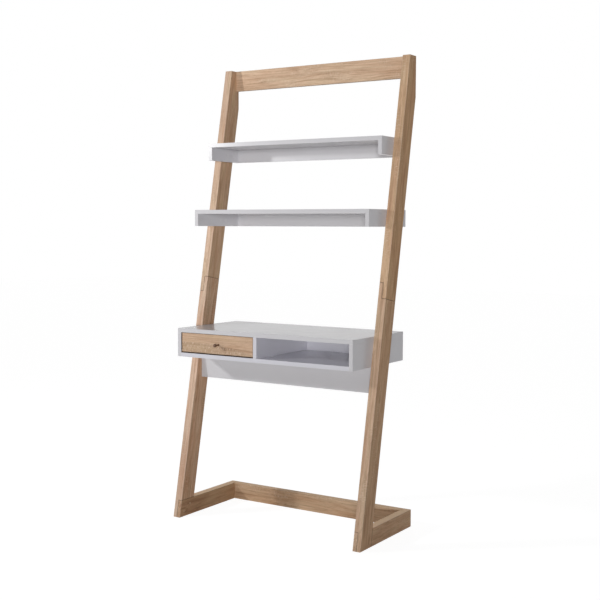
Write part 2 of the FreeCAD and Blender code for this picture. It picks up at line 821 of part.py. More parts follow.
rail_left = bored(cabinet_rail(), cabinet_screw_holes)
slider_left = bored(drawer_rail(), drawer_screw_holes)
save("left_cabinet_rail", rail_left)
save("right_cabinet_rail", other_runner(rail_left))
save("left_drawer_rail", slider_left)
save("right_drawer_rail", other_runner(slider_left))
save("left_ball_cage", ball_cage())
save("right_ball_cage", other_runner(ball_cage()))
save_group("left_runner_balls", balls())
save_group("right_runner_balls", [other_runner(b) for b in balls()])
save_group("cabinet_rail_screws", both([r[0] for r in cabinet_set]))
save_group("drawer_rail_screws", both([r[0] for r in drawer_set]))

knob_solid, knob_screw, knob_hole = knob_and_screw()
cam_set, dowel_set, corner_set = drawer_fasteners()
bottom_set = bottom_screws()
drawer_holes = [knob_hole] + drawer_screw_holes
for result in cam_set + dowel_set + corner_set + bottom_set:
    drawer_holes += result[-1]
for piece, solid in drawer_pieces().items():
    save(piece, bored(solid, drawer_holes))
save("drawer_knob", knob_solid)
save("drawer_knob_screw", knob_screw)
save_group("drawer_cam_bolts", [r[0] for r in cam_set])
save_group("drawer_cam_locks", [r[1] for r in cam_set])
save_group("drawer_dowels", [r[0] for r in dowel_set])
save_group("drawer_corner_screws", [r[0] for r in corner_set])
save_group("drawer_bottom_screws", [r[0] for r in bottom_set])
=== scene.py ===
import math

import bpy
from mathutils import Matrix, Vector


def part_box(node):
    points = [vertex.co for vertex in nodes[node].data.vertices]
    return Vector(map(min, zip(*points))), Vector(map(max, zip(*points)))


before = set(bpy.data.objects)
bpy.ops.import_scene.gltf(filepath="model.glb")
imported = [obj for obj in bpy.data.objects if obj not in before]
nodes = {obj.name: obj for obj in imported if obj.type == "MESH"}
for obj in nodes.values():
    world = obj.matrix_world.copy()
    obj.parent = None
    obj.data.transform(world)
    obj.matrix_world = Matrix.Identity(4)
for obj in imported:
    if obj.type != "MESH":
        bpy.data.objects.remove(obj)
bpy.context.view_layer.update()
MM = 1000.0                  # millimetres in a metre

# ---- camera: metres and degrees, in the part's frame ----
CAMERA_AT = (2.2827, -3.4790, 1.1768)
CAMERA_YAW = 32.656          # turned left of the +Y direction
CAMERA_PITCH = 3.949         # looking down
CAMERA_ROLL = 0.250
CAMERA_REACH = 100           # metres
SENSOR_MM = 36.0
IMAGE_PIXELS = 600
FOCAL_PIXELS = 1061.1

# ---- light: a key lamp at the left, a low fill near the camera, a weak lamp behind the desk
# and an even glow all round ----
KEY_AT = (-2.52, -2.21, 1.92)
KEY_AIM = (0.0, 0.0, 0.9)
KEY_SIZE = 0.25              # metres across
KEY_WATTS = 43.0
# far lamps: degrees right of the front, degrees above the horizon, degrees across, strength
FILL = (28.0, 1.0, 10.0, 1.53)
BACK = (-150.0, 14.0, 20.0, 0.85)
GLOW = 0.14
FLOOR_SIZE = 30              # metres
FLOOR_WHITE = 0.93           # the floor's own white where it is seen; daylight on it adds the rest
FLOOR_SHADED = 0.25          # how much of the light and shadow on the floor shows

# ---- directions of the grain: the stiles lean back, and their grain leans with them ----
LEAN = math.radians(11.0)
UP_STILE = (0.0, math.sin(LEAN), math.cos(LEAN))
INTO_STILE = (0.0, math.cos(LEAN), -math.sin(LEAN))
ALONG_WIDTH = (1, 0, 0)
ALONG_DEPTH = (0, 1, 0)
UPRIGHT = (0, 0, 1)

# ---- places of the half laps, in millimetres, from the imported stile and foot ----
STILE_WIDTH = 78.0           # square to the stile's length
SHOULDER_HEIGHTS = (912.0, 971.0)        # mid lap, at the front edge: outer and inner shoulder
foot_low, foot_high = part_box("right_foot")
STILE_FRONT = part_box("right_lower_stile")[0].y * MM
STILE_REAR = STILE_FRONT * math.cos(LEAN) + STILE_WIDTH      # into the stile
LAP_SHOULDERS = [STILE_FRONT * math.sin(LEAN) + height / math.cos(LEAN)
                 for height in SHOULDER_HEIGHTS]             # up the stile
LAP_SEAM = (foot_low.x + foot_high.x) / 2 * MM
FOOT_TOP = foot_high.z * MM

# ---- the drawer front's print is sawn in its lower half: below a height left of the knob, and
# below a line that falls from there to the right ----
SAWN_BELOW = 720.0           # millimetres up
SAWN_FALL = 0.20             # millimetres down for each millimetre to the right
knob_low, knob_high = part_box("drawer_knob")
KNOB_MIDDLE = (knob_low.x + knob_high.x) / 2 * MM

# ---- the drawer's bay, in metres: from just behind the drawer front's face its boards are painted dark brown, a painted shade ----
PAINTED_SHADE_FROM = 1.5 / MM         # behind the face
PAINTED_SHADE_TO = 161.0 / MM         # towards the wall
PAINTED_SHADE_WALLS = Vector((0.5, 0.0, 0.5)) / MM                    # into the boards on each side
bay_low = Vector((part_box("desk_left_end")[1].x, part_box("drawer_front")[0].y + PAINTED_SHADE_FROM,
                  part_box("desk_bottom_board")[1].z)) - PAINTED_SHADE_WALLS
bay_high = Vector((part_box("desk_divider")[0].x, PAINTED_SHADE_TO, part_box("desk_top_board")[0].z)) + PAINTED_SHADE_WALLS


def linear(hex_colour):
    """sRGB hex to the linear colour that a shader socket takes."""
    parts = [int(hex_colour[i:i + 2], 16) / 255 for i in (1, 3, 5)]
    return (*[p / 12.92 if p <= 0.04045 else ((p + 0.055) / 1.055) ** 2.4 for p in parts], 1.0)


def add(tree, kind, inputs=None, stops=(), **settings):
    """Adds one node with its settings; an input is a value or another node's output."""
    node = tree.nodes.new(kind)
    for name, value in settings.items():
        setattr(node, name, value)
    for socket, value in (inputs or {}).items():
        if isinstance(value, bpy.types.NodeSocket):
            tree.links.new(value, node.inputs[socket])
        else:
            node.inputs[socket].default_value = value
    for _ in stops[2:]:
        node.color_ramp.elements.new(1.0)
    for index, (place, colour) in enumerate(stops):
        node.color_ramp.elements[index].position = place
        node.color_ramp.elements[index].color = linear(colour)
    return node


def new_material(name):
    """An empty material with a Principled shader wired to its output."""
    material = bpy.data.materials.new(name)
    material.use_nodes = True
    tree = material.node_tree
    tree.nodes.clear()
    shader = add(tree, "ShaderNodeBsdfPrincipled")
    add(tree, "ShaderNodeOutputMaterial", {"Surface": shader.outputs["BSDF"]})
    return material, tree, shader


def reach_along(tree, place, axis):
    """How far `place` lies along `axis`, in millimetres."""
    dot = add(tree, "ShaderNodeVectorMath", {0: place, 1: Vector(axis).normalized() * MM},
              operation="DOT_PRODUCT")
    return dot.outputs["Value"]


def facing(tree, direction):
    """1 on a face that looks in `direction`, less as it turns away, 0 from a right angle on."""
    normal = add(tree, "ShaderNodeTexCoord").outputs["Normal"]
    dot = add(tree, "ShaderNodeVectorMath", {0: normal, 1: direction}, operation="DOT_PRODUCT")
    turned = add(tree, "ShaderNodeMath", {0: dot.outputs["Value"], 1: 0.0}, operation="MAXIMUM")
    return turned.outputs[0]


# ---- sawn-oak foil ----
def board_axes(tree, along, across, offset):
    """Millimetres across, into and along the grain, moved by `offset` so that no two boards match."""
    place = add(tree, "ShaderNodeTexCoord").outputs["Object"]
    into = Vector(along).cross(Vector(across))
    lengths = [reach_along(tree, place, axis) for axis in (across, into, along)]
    joined = add(tree, "ShaderNodeCombineXYZ", dict(enumerate(lengths)))
    moved = add(tree, "ShaderNodeVectorMath", {0: joined.outputs[0], 1: offset}, operation="ADD")
    return moved.outputs[0], lengths


def streaks(tree, place, width, length, detail=3.0):
    """Soft streaks, 0 to 1, `width` mm across the grain and `length` mm along it."""
    size = (1 / width, 1 / width, 1 / length)
    scaled = add(tree, "ShaderNodeVectorMath", {0: place, 1: size}, operation="MULTIPLY")
    node = add(tree, "ShaderNodeTexNoise", {"Vector": scaled.outputs[0], "Scale": 1.0,
                                            "Detail": detail, "Roughness": 0.55})
    return node.outputs["Fac"]


def wandering_grain(tree, place):
    """The grain wanders by up to 15 mm either way over half a metre."""
    wander = streaks(tree, place, 60, 480, detail=1.0)
    shift = add(tree, "ShaderNodeCombineXYZ", {0: wander, 1: wander, 2: 0.0})
    bent = add(tree, "ShaderNodeVectorMath", {0: shift.outputs[0], 1: (75, 75, 0), 2: place},
               operation="MULTIPLY_ADD")
    return bent.outputs[0]


def foil_body(tree, bent, streak, fibre, tones):
    """Long patches of the three body colours under streaks and fibres."""
    pale, middle, deep = tones
    body = add(tree, "ShaderNodeValToRGB", {"Fac": streaks(tree, bent, 26, 230)},
               stops=[(0.34, pale), (0.50, middle), (0.66, deep)])
    streak_tone = add(tree, "ShaderNodeValToRGB", {"Fac": streak},
                      stops=[(0.28, "#D6CFC8"), (0.50, "#F6F4F2"), (0.68, "#FFFFFF")])
    fibre_tone = add(tree, "ShaderNodeValToRGB", {"Fac": fibre},
                     stops=[(0.30, "#D3CCC4"), (0.50, "#F5F3F1"), (0.66, "#FFFFFF")])
    colour = add(tree, "ShaderNodeMix", {0: 0.85, 6: body.outputs[0], 7: streak_tone.outputs[0]},
                 data_type="RGBA", blend_type="MULTIPLY").outputs[2]
    return add(tree, "ShaderNodeMix", {0: 0.70, 6: colour, 7: fibre_tone.outputs[0]},
               data_type="RGBA", blend_type="MULTIPLY").outputs[2]


def growth_rings(tree, place, bent, colour):
    """Rings 11 mm apart that bow into arches, each with one dark side, faded in long patches."""
    scaled = add(tree, "ShaderNodeVectorMath", {0: bent, 1: (1 / 11, 1 / 11, 1 / 170)},
                 operation="MULTIPLY")
    # at a scale of 0.314 one ring is one unit wide
    ring = add(tree, "ShaderNodeTexWave",
               {"Vector": scaled.outputs[0], "Scale": 0.314, "Distortion": 2.6, "Detail": 2.0,
                "Detail Scale": 0.8, "Detail Roughness": 0.6},
               wave_type="RINGS", rings_direction="Z", wave_profile="SAW")
    ring_tone = add(tree, "ShaderNodeValToRGB", {"Fac": ring.outputs["Fac"]},
                    stops=[(0.0, "#FFFFFF"), (0.68, "#F7F4F1"), (0.92, "#C4B29F"), (1.0, "#FAF8F6")])
    patches = add(tree, "ShaderNodeMapRange",
                  {"Value": streaks(tree, place, 70, 300, detail=1.0), "From Min": 0.44,
                   "From Max": 0.60, "To Min": 0.08, "To Max": 0.45})
    return add(tree, "ShaderNodeMix", {0: patches.outputs["Result"], 6: colour,
                                       7: ring_tone.outputs[0]},
               data_type="RGBA", blend_type="MULTIPLY").outputs[2]


def sawn_zone(tree, place, lengths, below):
    """Where the saw has marked the board: in patches, or under a line that falls from the knob."""
    patches = streaks(tree, place, 45, 170, detail=2.0)
    zone = add(tree, "ShaderNodeMapRange", {"Value": patches, "From Min": 0.54, "From Max": 0.62})
    if not below:
        return zone.outputs["Result"]
    start, height, fall = below
    past = add(tree, "ShaderNodeMath", {0: lengths[2], 1: -start}, operation="ADD")
    right = add(tree, "ShaderNodeMath", {0: past.outputs[0], 1: 0.0}, operation="MAXIMUM")
    line = add(tree, "ShaderNodeMath", {0: right.outputs[0], 1: -fall, 2: height},
               operation="MULTIPLY_ADD")
    # the line is ragged, by up to 7 mm either way
    ragged = add(tree, "ShaderNodeMath", {0: streaks(tree, place, 9, 22), 1: 14.0, 2: -7.0},
                 operation="MULTIPLY_ADD")
    depth = add(tree, "ShaderNodeMath", {0: line.outputs[0], 1: lengths[0]}, operation="SUBTRACT")
    under = add(tree, "ShaderNodeMath", {0: depth.outputs[0], 1: ragged.outputs[0]}, operation="ADD")
    zone = add(tree, "ShaderNodeMapRange", {"Value": under.outputs[0], "From Min": -1.0,
                                            "From Max": 3.0})
    return zone.outputs["Result"]


def saw_marks(tree, place, lengths, colour, below):
    """Light strokes 3 mm wide and 14 mm long, across the grain, on a slightly deeper band.

    Gives the colour and where the strokes are. They are stronger on a board that is sawn `below`
    a line than on one that is sawn in patches.
    """
    band, strength = (0.26, 0.55) if below else (0.07, 0.38)
    zone = sawn_zone(tree, place, lengths, below)
    sawn = add(tree, "ShaderNodeMath", {0: zone, 1: band}, operation="MULTIPLY")
    colour = add(tree, "ShaderNodeMix", {0: sawn.outputs[0], 6: colour, 7: linear("#7A654E")},
                 data_type="RGBA").outputs[2]
    stroke = add(tree, "ShaderNodeMapRange", {"Value": streaks(tree, place, 14, 3.2, detail=2.0),
                                              "From Min": 0.52, "From Max": 0.66,
                                              "To Max": strength})
    mark = add(tree, "ShaderNodeMath", {0: stroke.outputs["Result"], 1: zone},
               operation="MULTIPLY").outputs[0]
    colour = add(tree, "ShaderNodeMix", {0: mark, 6: colour, 7: linear("#E8D2BC")},
                 data_type="RGBA").outputs[2]
    return colour, mark


def painted_shade_and_light_by_side(tree, colour):
    """Painted shade and light: the wide faces, which look sideways, are painted deeper and yellower as
    if in shade; what looks up is painted paler, as a sheen of light.
    """
    # painted shade: the wide, sideways faces are made deeper and yellower
    wide = add(tree, "ShaderNodeMath", {0: facing(tree, (1, 0, 0)), 1: facing(tree, (-1, 0, 0))},
               operation="MAXIMUM")
    colour = add(tree, "ShaderNodeMix", {0: wide.outputs[0], 6: colour, 7: linear("#F5EDE0")},
                 data_type="RGBA", blend_type="MULTIPLY").outputs[2]
    # painted light: what looks up is paler, as the sheen of light on it
    painted_top_light = add(tree, "ShaderNodeMapRange", {"Value": facing(tree, UPRIGHT), "From Min": 0.5,
                                                "From Max": 1.0, "To Max": 0.75})
    return add(tree, "ShaderNodeMix", {0: painted_top_light.outputs["Result"], 6: colour,
                                       7: linear("#FFDCB6")}, data_type="RGBA").outputs[2]


def small_knots(tree, bent, colour):
    """Small knots, about one in every 200 by 400 mm, drawn out along the grain."""
    scaled = add(tree, "ShaderNodeVectorMath", {0: bent, 1: (1 / 60, 1 / 60, 1 / 240)},
                 operation="MULTIPLY")
    cells = add(tree, "ShaderNodeTexVoronoi", {"Vector": scaled.outputs[0], "Scale": 1.0})
    knot = add(tree, "ShaderNodeMapRange", {"Value": cells.outputs["Distance"], "From Min": 0.03,
                                            "From Max": 0.10, "To Min": 0.4, "To Max": 0.0})
    return add(tree, "ShaderNodeMix", {0: knot.outputs["Result"], 6: colour,
                                       7: linear("#8C6A50")}, data_type="RGBA").outputs[2]


def stretched_and_highlit_edges(tree, along, across, colour):
    """Paler line on the eased edges: the foil stretched thin there, and partly a painted highlight."""
    normal = add(tree, "ShaderNodeTexCoord").outputs["Normal"]
    flatness = 0.0
    for axis in (along, across, Vector(along).cross(Vector(across))):
        dot = add(tree, "ShaderNodeVectorMath", {0: normal, 1: axis}, operation="DOT_PRODUCT")
        size = add(tree, "ShaderNodeMath", {0: dot.outputs["Value"]}, operation="ABSOLUTE")
        flatness = add(tree, "ShaderNodeMath", {0: size.outputs[0], 1: flatness},
                       operation="MAXIMUM").outputs[0]
    edge = add(tree, "ShaderNodeMapRange", {"Value": flatness, "From Min": 0.80, "From Max": 0.92,
                                            "To Min": 0.30, "To Max": 0.0})
    # paler edge line: stretched foil, and partly a painted highlight
    return add(tree, "ShaderNodeMix", {0: edge.outputs["Result"], 6: colour,
                                       7: linear("#EBDCCB")}, data_type="RGBA").outputs[2]


def open_joints(tree, colour):
    """The foil's cut edges and the open joints of the laps show as dark lines."""
    half_width = 1.3             # millimetres: wider than the real joint, so that it shows
    place = add(tree, "ShaderNodeTexCoord").outputs["Object"]
    side, height, up, depth = [reach_along(tree, place, axis)
                               for axis in (ALONG_WIDTH, UPRIGHT, UP_STILE, INTO_STILE)]
    side = add(tree, "ShaderNodeMath", {0: side}, operation="ABSOLUTE").outputs[0]
    outer = add(tree, "ShaderNodeMath", {0: side, 1: LAP_SEAM}, operation="GREATER_THAN").outputs[0]
    inner = add(tree, "ShaderNodeMath", {0: 1.0, 1: outer}, operation="SUBTRACT").outputs[0]
    at_foot = add(tree, "ShaderNodeMath", {0: height, 1: FOOT_TOP}, operation="LESS_THAN").outputs[0]
    at_stile = add(tree, "ShaderNodeMath", {0: depth, 1: STILE_REAR + 1.0},
                   operation="LESS_THAN").outputs[0]
    low, high = LAP_SHOULDERS
    shoulder = add(tree, "ShaderNodeMath", {0: outer, 1: low - high, 2: high},
                   operation="MULTIPLY_ADD").outputs[0]
    at_lap = add(tree, "ShaderNodeMath", {0: up, 1: (low + high) / 2, 2: (high - low) / 2},
                 operation="COMPARE").outputs[0]
    lapped = add(tree, "ShaderNodeMath", {0: at_foot, 1: at_lap}, operation="MAXIMUM").outputs[0]
    lines = 0.0
    # what is measured, where the line lies, and the two stretches that it keeps to
    for measure, target, first, second in (
            (up, shoulder, 1.0, 1.0),                    # across the mid lap's shoulders
            (depth, STILE_REAR, at_foot, outer),         # down the foot, behind the stile
            (height, FOOT_TOP, at_stile, inner),         # over the foot's end, inside
            (side, LAP_SEAM, at_stile, lapped)):         # between the two halves, on the edges
        near = add(tree, "ShaderNodeMath", {0: measure, 1: target, 2: half_width},
                   operation="COMPARE")
        kept = add(tree, "ShaderNodeMath", {0: near.outputs[0], 1: first}, operation="MULTIPLY")
        kept = add(tree, "ShaderNodeMath", {0: kept.outputs[0], 1: second}, operation="MULTIPLY")
        lines = add(tree, "ShaderNodeMath", {0: kept.outputs[0], 1: lines},
                    operation="MAXIMUM").outputs[0]
    dark = add(tree, "ShaderNodeMath", {0: lines, 1: 0.55}, operation="MULTIPLY")
    return add(tree, "ShaderNodeMix", {0: dark.outputs[0], 6: colour, 7: linear("#4C3929")},
               data_type="RGBA").outputs[2]


def oak_foil(name, along, across, offset, tones, below=None, jointed=False):
    """Printed oak foil pressed on boards, with the look of rough-sawn pale oak.

    It is matt and low in contrast: pinkish tan that turns to straw in long patches, soft
    streaks, a few darker rings that bow into arches, and short light saw marks across the
    grain. `tones` are the pale, middle and deep body colours.
    """
    material, tree, shader = new_material(name)
    place, lengths = board_axes(tree, along, across, offset)
    bent = wandering_grain(tree, place)
    # streaks 7 mm wide, then fibres 2.5 mm wide: real fibres are finer, and would not show
    streak = streaks(tree, bent, 7, 380)
    fibre = streaks(tree, bent, 2.5, 80, detail=4.0)
    colour = foil_body(tree, bent, streak, fibre, tones)
    colour = growth_rings(tree, place, bent, colour)
    colour, mark = saw_marks(tree, place, lengths, colour, below)
    # open pores: dark dashes 14 mm long and 1 mm wide, which is wider than real, so that they show
    pores = add(tree, "ShaderNodeValToRGB", {"Fac": streaks(tree, place, 1.0, 14, detail=2.0)},
                stops=[(0.30, "#B3A698"), (0.42, "#FFFFFF")]).outputs[0]
    colour = add(tree, "ShaderNodeMix", {0: 0.4, 6: colour, 7: pores}, data_type="RGBA",
                 blend_type="MULTIPLY").outputs[2]
    # painted shade on the sideways faces and painted light on the upward ones
    colour = painted_shade_and_light_by_side(tree, colour)
    colour = small_knots(tree, bent, colour)
    # paler eased edges, partly a painted highlight
    colour = stretched_and_highlit_edges(tree, along, across, colour)
    if jointed:
        colour = open_joints(tree, colour)
    tree.links.new(colour, shader.inputs["Base Color"])
    rough = add(tree, "ShaderNodeMapRange", {"Value": fibre, "From Min": 0.3, "From Max": 0.7,
                                             "To Min": 0.68, "To Max": 0.54})
    tree.links.new(rough.outputs["Result"], shader.inputs["Roughness"])
    shader.inputs["IOR"].default_value = 1.45
    # a matt foil has less sheen than a smooth face of the same stuff
    shader.inputs["Specular IOR Level"].default_value = 0.2
    # pores are pressed 0.2 mm into the foil, and the saw marks and streaks stand up from it
    bump = None
    for height, strength, distance in ((pores, 0.30, 0.2), (mark, 0.40, 0.3), (streak, 0.20, 0.3)):
        heights = {"Height": height, "Strength": strength, "Distance": distance / MM}
        if bump:
            heights["Normal"] = bump
        bump = add(tree, "ShaderNodeBump", heights).outputs[0]
    tree.links.new(bump, shader.inputs["Normal"])
    return material


# ---- other finishes ----
def stained_wood():
    """Turned hardwood knob, stained dark brown and varnished: satin, with faint streaks along it."""
    material, tree, shader = new_material("stained_knob_wood")
    place = board_axes(tree, ALONG_DEPTH, UPRIGHT, (18, 51, 410))[0]
    grain = streaks(tree, place, 1.5, 12)
    tone = add(tree, "ShaderNodeMix", {0: grain, 6: linear("#5C3F2A"), 7: linear("#75553D")},
               data_type="RGBA")
    tree.links.new(tone.outputs[2], shader.inputs["Base Color"])
    rough = add(tree, "ShaderNodeMapRange", {"Value": grain, "From Min": 0.3, "From Max": 0.7,
                                             "To Min": 0.34, "To Max": 0.44})
    tree.links.new(rough.outputs["Result"], shader.inputs["Roughness"])
    shader.inputs["IOR"].default_value = 1.5
    bump = add(tree, "ShaderNodeBump", {"Height": grain, "Strength": 0.2, "Distance": 0.1 / MM})
    tree.links.new(bump.outputs[0], shader.inputs["Normal"])
    return material


def bay_mask(tree, place):
    """1 inside the drawer's bay and on its walls, 0 outside: where the painted shade goes."""
    from_middle = add(tree, "ShaderNodeVectorMath", {0: place, 1: (bay_low + bay_high) / 2},
                      operation="SUBTRACT")
    away = add(tree, "ShaderNodeVectorMath", {0: from_middle.outputs[0]}, operation="ABSOLUTE")
    inside = add(tree, "ShaderNodeVectorMath", {0: (bay_high - bay_low) / 2, 1: away.outputs[0]},
                 operation="SUBTRACT")
    sides = add(tree, "ShaderNodeSeparateXYZ", {0: inside.outputs[0]})
    least = add(tree, "ShaderNodeMath", {0: sides.outputs[0], 1: sides.outputs[1]},
                operation="MINIMUM")
    least = add(tree, "ShaderNodeMath", {0: least.outputs[0], 1: sides.outputs[2]},
                operation="MINIMUM")
    mask = add(tree, "ShaderNodeMapRange", {"Value": least.outputs[0], "From Min": 0.0,
                                            "From Max": 0.4 / MM})
    return mask.outputs["Result"]


def white_lacquer(name, fresh, mellowed):
    """White polyurethane lacquer sprayed on fibreboard: a soft gloss, faintly uneven, with painted shade
    on what looks forward and in the drawer's bay, and painted light on undersides.
    """
    material, tree, shader = new_material(name)
    place = add(tree, "ShaderNodeTexCoord").outputs["Object"]
    # the spray dries a little darker and duller in clouds a hand across
    cloud = add(tree, "ShaderNodeTexNoise", {"Vector": place, "Scale": MM / 110, "Detail": 3.0})
    tone = add(tree, "ShaderNodeMix", {0: cloud.outputs["Fac"], 6: linear(fresh), 7: linear(mellowed)},
               data_type="RGBA").outputs[2]
    # painted shade: what looks forward is a little darker
    tone = add(tree, "ShaderNodeMix", {0: facing(tree, (0, -1, 0)), 6: tone, 7: linear("#F5F5F4")},
               data_type="RGBA", blend_type="MULTIPLY").outputs[2]
    # painted light: undersides are whiter, as if lit from below
    tone = add(tree, "ShaderNodeMix", {0: facing(tree, (0, 0, -1)), 6: tone, 7: linear("#F1F0F2")},
               data_type="RGBA").outputs[2]
    # painted shade: the walls of the drawer's bay are painted dark brown, so that the gaps round the
    # drawer front look shaded; they are also duller
    painted_gap_shade = bay_mask(tree, place)
    tone = add(tree, "ShaderNodeMix", {0: painted_gap_shade, 6: tone, 7: linear("#86684C")},
               data_type="RGBA").outputs[2]
    tree.links.new(tone, shader.inputs["Base Color"])
    gloss = add(tree, "ShaderNodeMapRange", {"Value": cloud.outputs["Fac"], "From Min": 0.3,
                                             "From Max": 0.7, "To Min": 0.20, "To Max": 0.26})
    rough = add(tree, "ShaderNodeMath", {0: painted_gap_shade, 1: 0.5, 2: gloss.outputs["Result"]},
                operation="MULTIPLY_ADD")
    tree.links.new(rough.outputs[0], shader.inputs["Roughness"])
    shader.inputs["IOR"].default_value = 1.5
    # orange peel: ripples 5 mm across, coarser than real, and a few hundredths of a millimetre high
    peel = add(tree, "ShaderNodeTexNoise", {"Vector": place, "Scale": MM / 5, "Detail": 1.0})
    bump = add(tree, "ShaderNodeBump", {"Height": peel.outputs["Fac"], "Strength": 0.12,
                                        "Distance": 0.05 / MM})
    tree.links.new(bump.outputs[0], shader.inputs["Normal"])
    return material


def melamine_paper():
    """White melamine-faced chipboard inside the drawer: satin, with a pressed fine pearl."""
    material, tree, shader = new_material("white_melamine")
    place = add(tree, "ShaderNodeTexCoord").outputs["Object"]
    # the pearl is 2 mm across
    noise = add(tree, "ShaderNodeTexNoise", {"Vector": place, "Scale": MM / 2, "Detail": 3.0})
    pearl = noise.outputs["Fac"]
    tone = add(tree, "ShaderNodeMix", {0: pearl, 6: linear("#E4E3E1"), 7: linear("#D8D7D4")},
               data_type="RGBA")
    tree.links.new(tone.outputs[2], shader.inputs["Base Color"])
    rough = add(tree, "ShaderNodeMapRange", {"Value": pearl, "From Min": 0.3, "From Max": 0.7,
                                             "To Min": 0.38, "To Max": 0.50})
    tree.links.new(rough.outputs["Result"], shader.inputs["Roughness"])
    shader.inputs["IOR"].default_value = 1.5
    bump = add(tree, "ShaderNodeBump", {"Height": pearl, "Strength": 0.25, "Distance": 0.1 / MM})
    tree.links.new(bump.outputs[0], shader.inputs["Normal"])
    return material


def turned_beech():
    """Raw beech dowels: pinkish brown with short dark flecks."""
    material, tree, shader = new_material("raw_beech")
    place = add(tree, "ShaderNodeTexCoord").outputs["Object"]
    # flecks 1.2 mm across
    noise = add(tree, "ShaderNodeTexNoise", {"Vector": place, "Scale": MM / 1.2, "Detail": 3.0})
    flecks = add(tree, "ShaderNodeValToRGB", {"Fac": noise.outputs["Fac"]},
                 stops=[(0.35, "#A97F56"), (0.50, "#CDA87F"), (0.70, "#D8B790")])
    tree.links.new(flecks.outputs[0], shader.inputs["Base Color"])
    shader.inputs["Roughness"].default_value = 0.65
    shader.inputs["IOR"].default_value = 1.45
    bump = add(tree, "ShaderNodeBump", {"Height": flecks.outputs[0], "Strength": 0.3,
                                        "Distance": 0.1 / MM})
    tree.links.new(bump.outputs[0], shader.inputs["Normal"])
    return material


def moulded_plastic(name, colour, worn_colour):
    """Moulded polyethylene cover cap: semi-matt with a moulded grain 0.8 mm across."""
    material, tree, shader = new_material(name)
    place = add(tree, "ShaderNodeTexCoord").outputs["Object"]
    grain = add(tree, "ShaderNodeTexNoise", {"Vector": place, "Scale": MM / 0.8})
    tone = add(tree, "ShaderNodeMix", {0: grain.outputs["Fac"], 6: linear(colour),
                                       7: linear(worn_colour)}, data_type="RGBA")
    tree.links.new(tone.outputs[2], shader.inputs["Base Color"])
    shader.inputs["Roughness"].default_value = 0.55
    shader.inputs["IOR"].default_value = 1.5
    bump = add(tree, "ShaderNodeBump", {"Height": grain.outputs["Fac"], "Strength": 0.15,
                                        "Distance": 0.05 / MM})
    tree.links.new(bump.outputs[0], shader.inputs["Normal"])
    return material


def bare_metal(name, colour, dull_colour, roughness, mark_mm, depth_mm):
    """Metal surface with marks `mark_mm` wide and `depth_mm` deep, in dull clouds 12 mm across."""
    material, tree, shader = new_material(name)
    place = add(tree, "ShaderNodeTexCoord").outputs["Object"]
    marks = add(tree, "ShaderNodeTexNoise", {"Vector": place, "Scale": MM / mark_mm, "Detail": 3.0})
    clouds = add(tree, "ShaderNodeTexNoise", {"Vector": place, "Scale": MM / 12})
    tone = add(tree, "ShaderNodeMix", {0: clouds.outputs["Fac"], 6: linear(colour),
                                       7: linear(dull_colour)}, data_type="RGBA")
    tree.links.new(tone.outputs[2], shader.inputs["Base Color"])
    rough = add(tree, "ShaderNodeMapRange", {"Value": marks.outputs["Fac"], "From Min": 0.3,
                                             "From Max": 0.7, "To Min": roughness * 0.8,
                                             "To Max": roughness * 1.25})
    tree.links.new(rough.outputs["Result"], shader.inputs["Roughness"])
    shader.inputs["Metallic"].default_value = 1.0
    bump = add(tree, "ShaderNodeBump", {"Height": marks.outputs["Fac"], "Strength": 0.25,
                                        "Distance": depth_mm / MM})
    tree.links.new(bump.outputs[0], shader.inputs["Normal"])
    return material


def dress(material, *names):
    """Gives a material to every slot of the named pieces."""
    for name in names:
        piece = nodes[name]
        if not piece.material_slots:
            piece.data.materials.append(material)
        for slot in piece.material_slots:
            slot.material = material


# ---- oak boards: pale, middle and deep body colours of each print ----
STRAW = ("#E0C2A1", "#DCBA99", "#D2AC8D")
TAN = ("#E1C6AA", "#DDBDA2", "#D2AF94")
DEEP = ("#D9BD9F", "#D3B396", "#C5A186")
PALE = ("#E6CBAE", "#E2C3A7", "#D8B699")
ROSY = ("#E6CCB6", "#E1C1AA", "#D7B096")
MIXED = ("#E1C7AA", "#E2C5AE", "#D5B297")
TOASTED = ("#D9BC9E", "#DABCA2", "#CCA98C")
SMOOTH = ("#D8BB9D", "#D2B293", "#C7A383")

for board, along, across, offset, tones in (
        ("left_lower_stile", UP_STILE, ALONG_WIDTH, (31, 12, 640), ROSY),
        ("right_lower_stile", UP_STILE, ALONG_WIDTH, (77, 45, 90), TAN),
        ("left_upper_stile", UP_STILE, ALONG_WIDTH, (150, 72, 1210), MIXED),
        ("right_upper_stile", UP_STILE, ALONG_WIDTH, (210, 15, 2300), STRAW),
        ("left_foot", ALONG_DEPTH, UPRIGHT, (40, 10, 700), DEEP),
        ("right_foot", ALONG_DEPTH, UPRIGHT, (95, 44, 1500), TAN)):
    dress(oak_foil("oak_" + board, along, across, offset, tones, jointed=True), board)
dress(oak_foil("oak_top_rail", ALONG_WIDTH, UPRIGHT, (12, 60, 900), PALE), "top_rail")
dress(oak_foil("oak_base_rail", ALONG_WIDTH, UPRIGHT, (64, 20, 2100), SMOOTH), "base_rail")
dress(oak_foil("oak_drawer_front", ALONG_WIDTH, UPRIGHT, (130, 33, 3300), TOASTED,
               below=(KNOB_MIDDLE, SAWN_BELOW, SAWN_FALL)), "drawer_front")
dress(stained_wood(), "drawer_knob")

# ---- white boards ----
white = white_lacquer("white_lacquer", "#D9D8DC", "#D4D2D6")
dress(white, "desk_top_board", "desk_left_end", "desk_right_end")
for shelf in ("upper_shelf", "middle_shelf"):
    for part in ("top_board", "left_end", "right_end", "back_rail"):
        dress(white, shelf + "_" + part)
# painted shade: the modesty panel under the desk is given a darker white
dress(white_lacquer("painted_shade_panel_lacquer", "#D3D2D6", "#CECCD0"), "modesty_panel")
